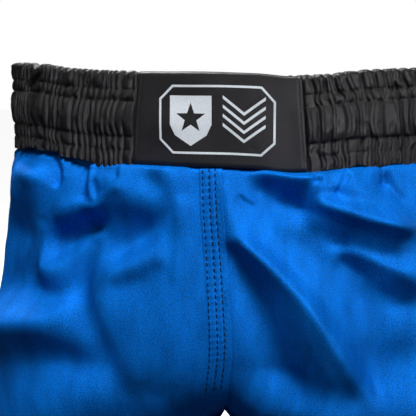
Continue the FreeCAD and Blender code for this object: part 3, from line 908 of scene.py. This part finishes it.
def body_stitches(panels):
    """The rows of stitches of the centre seams, side seams, inseams and hems, and the bartacks."""
    upper = np.arange(-78.5, -254, -PITCH)
    side = np.arange(-79, HEM + 60, -PITCH)
    leg = np.arange(-349, HEM + 3, -PITCH)
    widen = 1 + 0.13 * ease(-upper, 120, 220)
    seam_beads("centre_front", panels["front_right_panel"], upper, CENTRE_ROWS, 1.1, widen)
    seam_beads("centre_back", panels["back_left_panel"], upper, CENTRE_ROWS, 1.1, widen)
    for hand in ("left", "right"):
        over = panels[f"front_{hand}_panel"]
        seam_beads(f"{hand}_side", over, side, SIDE_ROWS, 1.0, from_centre=False)
        seam_beads(f"{hand}_inseam", over, leg, SIDE_ROWS, 1.0)
        runs = []
        for panel in (over, panels[f"back_{hand}_panel"]):
            for row in HEM_ROWS:
                width = np.interp(row, panel.levels[::-1], panel.from_side[::-1, -1])
                distance = np.arange(4, width - 2, PITCH)
                runs.append(stitch_run(panel, np.full(distance.shape, row), distance, False, 0.0, 1.2))
        panel_beads(f"{hand}_hem", runs, 3.7, 0.42)
        # the bartack: sixteen close stitches across the side seam, just above the vent
        count = 16
        level = np.linspace(HEM + VENT + 1, HEM + VENT + 7, count)
        place, normal = over.at(level, np.full(count, 0.4), False)
        beads(
            f"{hand}_bartack_thread", place, np.tile([0.0, 1.0, 0.0], (count, 1)), normal, 3.6, 0.3,
            node=f"{hand}_vent_bartack", slot="thread_navy",
        )


def band_stitches():
    """The four shirring rows round the casing, and the row inside each side of the patch."""
    arcs, downs, outs = [], [], []
    for k, row in enumerate(ROWS):
        start = patch_edge(row) + 2
        arc = np.arange(start + k, ROUND - start, 3.6)
        arcs.append(arc)
        downs.append(np.full(arc.shape, row))
        outs.append(casing_relief(arc, np.full(arc.shape, row)))
    arc, down, out = map(np.concatenate, (arcs, downs, outs))
    place = band_points(arc, down, out + 0.1)
    step = band_points(arc + 1, down, out) - band_points(arc - 1, down, out)
    normal = band_points(arc, down, out + 1) - band_points(arc, down, out)
    beads(
        "shirring_thread", place, step, normal, 2.7, 0.32, node="shirring_stitches", slot="thread_black",
    )
    down = np.tile(np.arange(4, BAND - 2, 3.4), 2)
    side = np.repeat([-1, 1], len(down) // 2)
    arc = side * (patch_edge(down) - 3.2)
    out = patch_relief(arc, down)
    place = band_points(arc, down, out)
    step = band_points(side * (patch_edge(down + 1) - 3.2), down + 1, out) - place
    normal = band_points(arc, down, out + 1) - place
    beads(
        "patch_edge_thread", place, step, normal, 2.5, 0.28, node="patch_edge_stitches", slot="thread_black",
    )


def gusset():
    """The small panel across the crotch, on the outside of the seams that meet there."""
    x, y = np.linspace(-14, 14, 41), np.linspace(-56, 56, 113)
    gx, gy = np.meshgrid(x, y, indexing="ij")
    low, high = np.full(gx.shape, -372.0), np.full(gx.shape, -225.0)
    for _ in range(40):
        mid = (low + high) / 2
        centre, half = (OUTER(mid) + INNER(mid)) / 2, (OUTER(mid) - INNER(mid)) / 2
        inside = ((np.abs(gx) - centre) / half) ** 2 + (gy / DEPTH(mid)) ** 2 < 1
        high = np.where(inside, mid, high)
        low = np.where(inside, low, mid)
    points = np.stack([gx, gy, (low + high) / 2 - 1.4], -1)
    for row in (2.0, 6.0):
        edge = np.minimum(14 - np.abs(gx), 56 - np.abs(gy))
        points[..., 2] += 0.35 * np.exp(-(((edge - row) / 0.9) ** 2))
    uv = np.stack([gx, gy], -1)
    outward = np.broadcast_to([0, 0, -1.0], points.shape)
    return grid_object(
        "crotch_gusset_cloth", points, np.full(gx.shape, 0.6), uv, outward,
        node="crotch_gusset", slot="satin_blue",
    )


def inside_pieces():
    """The elastic in the casing, the overlocked edges under the waist seam, and the blank label."""
    elastic = slab(
        "waistband_elastic_knit",
        lambda down: patch_edge(down) + 1,
        lambda down: ROUND - patch_edge(down) - 1,
        5.0, BAND - 7, -4.0, -5.8, 500, 40,
        bulge=lambda arc, down: 0.18 * np.cos(TAU * down / 2.6),
        node="waistband_elastic", slot="elastic_knit",
    )
    overlock = slab(
        "waist_overlock_edge",
        lambda down: 0 * down, lambda down: 0 * down + ROUND - 0.05,
        BAND + 0.4, BAND + 9, -6.8, -8.0, 900, 12,
        bulge=lambda arc, down: 0.3 * np.cos(TAU * (arc + 0.4 * down) / 2.1),
        node="waist_seam_overlock", slot="thread_black",
    )
    label = slab(
        "size_label_woven",
        lambda down: 0 * down + ROUND / 2 - 21, lambda down: 0 * down + ROUND / 2 + 21,
        70, 108, -7.6, -8.3, 40, 36,
        bulge=lambda arc, down: -0.9 * ease(down, 78, 108) ** 2 * (1 + 0.6 * np.cos((arc - ROUND / 2) / 9)),
        node="size_label", slot="label_white",
    )
    return elastic, overlock, label


# ---------------------------------------------------------------- materials


class Nodes:
    """A small way to write a node tree."""

    def __init__(self, name):
        self.material = bpy.data.materials.new(name)
        self.material.use_nodes = True
        self.tree = self.material.node_tree
        self.tree.nodes.clear()
        self.shader = self.add("ShaderNodeBsdfPrincipled")
        out = self.add("ShaderNodeOutputMaterial")
        self.link(self.shader.outputs[0], out.inputs[0])

    def add(self, kind, inputs=(), **settings):
        """A new node with its settings, and its inputs given as pairs of a name and a value or socket."""
        node = self.tree.nodes.new(kind)
        for key, value in settings.items():
            setattr(node, key, value)
        for key, value in inputs:
            self.feed(node.inputs[key], value)
        return node

    def link(self, a, b):
        self.tree.links.new(a, b)

    def feed(self, socket, value):
        """Links a socket to the one that feeds it, or gives it a plain value."""
        if isinstance(value, bpy.types.NodeSocket):
            self.link(value, socket)
        else:
            socket.default_value = value

    def set(self, **values):
        """Feeds the shader's own sockets."""
        for key, value in values.items():
            self.feed(self.shader.inputs[key.replace("_", " ")], value)

    def coordinates(self, kind="UV", scale=(1, 1, 1), turn=0.0):
        source = self.add("ShaderNodeTexCoord").outputs[kind]
        inputs = (("Vector", source), ("Scale", scale), ("Rotation", (0, 0, turn)))
        return self.add("ShaderNodeMapping", inputs).outputs[0]

    def noise(self, vector, scale, detail=2.0, rough=0.5):
        inputs = (("Vector", vector), ("Scale", scale), ("Detail", detail), ("Roughness", rough))
        return self.add("ShaderNodeTexNoise", inputs).outputs["Fac"]

    def wave(self, vector, scale, distortion, direction="X"):
        inputs = (("Vector", vector), ("Scale", scale), ("Distortion", distortion))
        return self.add("ShaderNodeTexWave", inputs, bands_direction=direction).outputs["Fac"]

    def math(self, operation, a, b):
        return self.add("ShaderNodeMath", enumerate((a, b)), operation=operation).outputs[0]

    def ramp(self, factor, low, high):
        """A ramp between two stops, each a place and a colour."""
        node = self.add("ShaderNodeValToRGB", (("Fac", factor),))
        for element, (at, colour) in zip(node.color_ramp.elements, (low, high)):
            element.position = at
            element.color = (*colour, 1)
        return node.outputs[0]

    def bump(self, height, strength, distance, under=None):
        inputs = [("Height", height), ("Strength", strength), ("Distance", distance)]
        if under is not None:
            inputs.append(("Normal", under))
        return self.add("ShaderNodeBump", inputs).outputs[0]

    def range(self, factor, low, high):
        inputs = (("Value", factor), ("To Min", low), ("To Max", high))
        return self.add("ShaderNodeMapRange", inputs).outputs[0]


def satin(name, dark, light, rough, metal, gloss, edge, weave, grain):
    """A satin of filament yarn: a fine twill, a slight grain, and a broad coloured sheen."""
    n = Nodes(name)
    cloth = n.coordinates("UV")
    twill = n.wave(n.coordinates("UV", turn=radians(58)), 1100, 0.6)
    threads = n.wave(n.coordinates("UV"), 700, 1.2, "Y")
    speck = n.noise(cloth, 900, 3.0, 0.65)
    cloud = n.noise(n.coordinates("UV", scale=(1, 0.35, 1)), 60, 4.0, 0.6)
    tone = n.math("ADD", n.math("MULTIPLY", speck, 0.7), n.math("MULTIPLY", cloud, 0.3))
    height = n.math("ADD", n.math("MULTIPLY", twill, weave), n.math("MULTIPLY", threads, weave * 0.6))
    height = n.math("ADD", height, n.math("MULTIPLY", speck, grain))
    n.set(
        Base_Color=n.ramp(tone, (0.4, dark), (0.6, light)),
        Roughness=n.range(speck, rough - 0.07, rough + 0.09),
        Normal=n.bump(height, 0.65, 0.0003, under=n.bump(cloud, 0.12, 0.0012)),
        Metallic=metal, Specular_IOR_Level=gloss, Specular_Tint=(*edge, 1),
    )
    return n.material


def simple(name, dark, light, rough, scale=500, bump=0.25, stretch=(1, 1, 1), sheen=0.0, gloss=0.5):
    """A plain cloth, thread or print with a fine mottled grain."""
    n = Nodes(name)
    field = n.noise(n.coordinates("Object", scale=stretch), scale, 3.0, 0.6)
    n.set(
        Base_Color=n.ramp(field, (0.35, dark), (0.65, light)),
        Roughness=n.range(field, rough - 0.06, rough + 0.08),
        Normal=n.bump(field, bump, 0.0002),
        Sheen_Weight=sheen, Specular_IOR_Level=gloss,
    )
    return n.material


def paint():
    """Gives each piece the look of its slot."""
    looks = {
        "satin_blue": satin(
            "blue_satin", dark=(0.0004, 0.078, 0.35), light=(0.0018, 0.19, 0.77), rough=0.56, metal=0.42,
            gloss=0.12, edge=(0.5, 0.8, 1.0), weave=0.35, grain=0.65,
        ),
        "satin_black": satin(
            "black_satin", dark=(0.0022, 0.002, 0.0022), light=(0.013, 0.0122, 0.0135), rough=0.42,
            metal=0.0, gloss=0.36, edge=(1.0, 0.96, 1.0), weave=0.7, grain=1.3,
        ),
        "lining_black": simple(
            "black_lining", (0.012, 0.012, 0.013), (0.024, 0.024, 0.026), 0.75, sheen=0.2
        ),
        "stiffener": simple("buckram", (0.42, 0.42, 0.4), (0.6, 0.6, 0.57), 0.85),
        "elastic_knit": simple(
            "knitted_elastic", (0.5, 0.5, 0.48), (0.68, 0.68, 0.66), 0.8, stretch=(1, 1, 3)
        ),
        "print_white": simple("white_transfer", (0.6, 0.65, 0.71), (0.74, 0.79, 0.85), 0.52, 900, 0.3),
        "thread_black": simple("black_thread", (0.008, 0.008, 0.009), (0.02, 0.02, 0.022), 0.5, 1500),
        "thread_navy": simple(
            "navy_thread", (0.0005, 0.005, 0.03), (0.001, 0.011, 0.06), 0.6, 1500, gloss=0.1
        ),
        "label_white": simple(
            "woven_label", (0.6, 0.6, 0.58), (0.76, 0.76, 0.74), 0.6, 800, stretch=(1, 1, 4)
        ),
    }
    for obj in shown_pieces():
        name = obj.get("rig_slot")
        if name in looks:
            obj.data.materials.clear()
            obj.data.materials.append(looks[name])


# ---------------------------------------------------------------- stage, light and camera


def stage():
    """A pale floor under the hems, and a white world that gives only a little light."""
    mesh = bpy.data.meshes.new("floor")
    size, level = 40.0, (HEM - 1.5) * MM
    corners = [(-size, -size, level), (size, -size, level), (size, size, level), (-size, size, level)]
    mesh.from_pydata(corners, [], [(0, 1, 2, 3)])
    floor = bpy.data.objects.new("floor", mesh)
    bpy.context.scene.collection.objects.link(floor)
    n = Nodes("floor_paint")
    grain = n.noise(n.coordinates("Object"), 40.0, 2.0)
    n.set(
        Base_Color=n.ramp(grain, (0.3, (0.5, 0.5, 0.5)), (0.7, (0.53, 0.53, 0.53))),
        Roughness=0.95, Specular_IOR_Level=0.0, Emission_Color=(1, 1, 1, 1), Emission_Strength=0.92,
    )
    mesh.materials.append(n.material)
    floor.visible_diffuse = floor.visible_glossy = False
    floor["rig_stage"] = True

    world = bpy.data.worlds.new("studio")
    bpy.context.scene.world = world
    world.use_nodes = True
    tree = world.node_tree
    tree.nodes.clear()
    out = tree.nodes.new("ShaderNodeOutputWorld")
    mix = tree.nodes.new("ShaderNodeMixShader")
    for socket, strength in ((1, 0.05), (2, 1.0)):  # as the cloth sees it, and as the camera does
        background = tree.nodes.new("ShaderNodeBackground")
        background.inputs["Color"].default_value = (1, 1, 1, 1)
        background.inputs["Strength"].default_value = strength
        tree.links.new(background.outputs[0], mix.inputs[socket])
    path = tree.nodes.new("ShaderNodeLightPath")
    tree.links.new(path.outputs["Is Camera Ray"], mix.inputs[0])
    tree.links.new(mix.outputs[0], out.inputs[0])


def look_at(eye, target):
    """The matrix of something at eye that faces target."""
    eye, target = Vector(eye), Vector(target)
    return Matrix.Translation(eye) @ (target - eye).to_track_quat("-Z", "Y").to_matrix().to_4x4()


def area_light(name, place, target, size, power):
    """A rectangular light, in metres and watts."""
    data = bpy.data.lights.new(name, "AREA")
    data.shape, data.size, data.size_y = "RECTANGLE", size[0], size[1]
    data.energy = power
    light = bpy.data.objects.new(name, data)
    light.matrix_world = look_at(place, target)
    bpy.context.scene.collection.objects.link(light)


def lights():
    """A grazing key that draws the folds, soft fills, and a pair of lights for the back."""
    area_light("key", (0.22, -0.7, 1.2), (0.0, -0.07, -0.12), (0.42, 0.42), 26)
    area_light("top", (-0.3, -0.62, 1.24), (0.0, -0.07, -0.12), (0.35, 0.35), 8)
    area_light("side", (1.1, -0.8, 0.35), (0.0, -0.07, -0.1), (0.3, 0.3), 2.2)
    area_light("fill", (-1.2, -1.1, 0.2), (0.0, 0.0, -0.2), (1.2, 1.2), 1.5)
    area_light("back_key", (-0.7, 0.85, 1.05), (0.0, 0.05, -0.25), (0.5, 0.5), 30)
    area_light("back_fill", (1.2, 1.0, 0.1), (0.0, 0.0, -0.2), (1.0, 1.0), 5)


def camera():
    """The camera at the photograph's viewing angle."""
    data = bpy.data.cameras.new("camera")
    data.sensor_width = 36
    data.lens = 18 / (FRAME_WIDTH / 2 / DISTANCE)
    data.clip_start, data.clip_end = 0.01, 50
    obj = bpy.data.objects.new("camera", data)
    turn = np.stack([rightward, upward, -forward], 1)
    place = Matrix(turn.tolist()).to_4x4()
    place.translation = (EYE * MM).tolist()
    obj.matrix_world = place
    bpy.context.scene.collection.objects.link(obj)
    bpy.context.scene.camera = obj


# ---------------------------------------------------------------- build

bpy.context.scene.view_settings.view_transform = "Standard"
camera()
lights()
stage()

casing_cloth = casing()
patch_face, _, patch_lining = front_patch()
emblem()
band_stitches()
elastic, _, label = inside_pieces()
panels = {
    node: Panel(f"{node}_cloth", front, left, node)
    for node, front, left in (
        ("front_left_panel", True, True),
        ("front_right_panel", True, False),
        ("back_left_panel", False, True),
        ("back_right_panel", False, False),
    )
}
body_stitches(panels)
gusset_cloth = gusset()

paint()
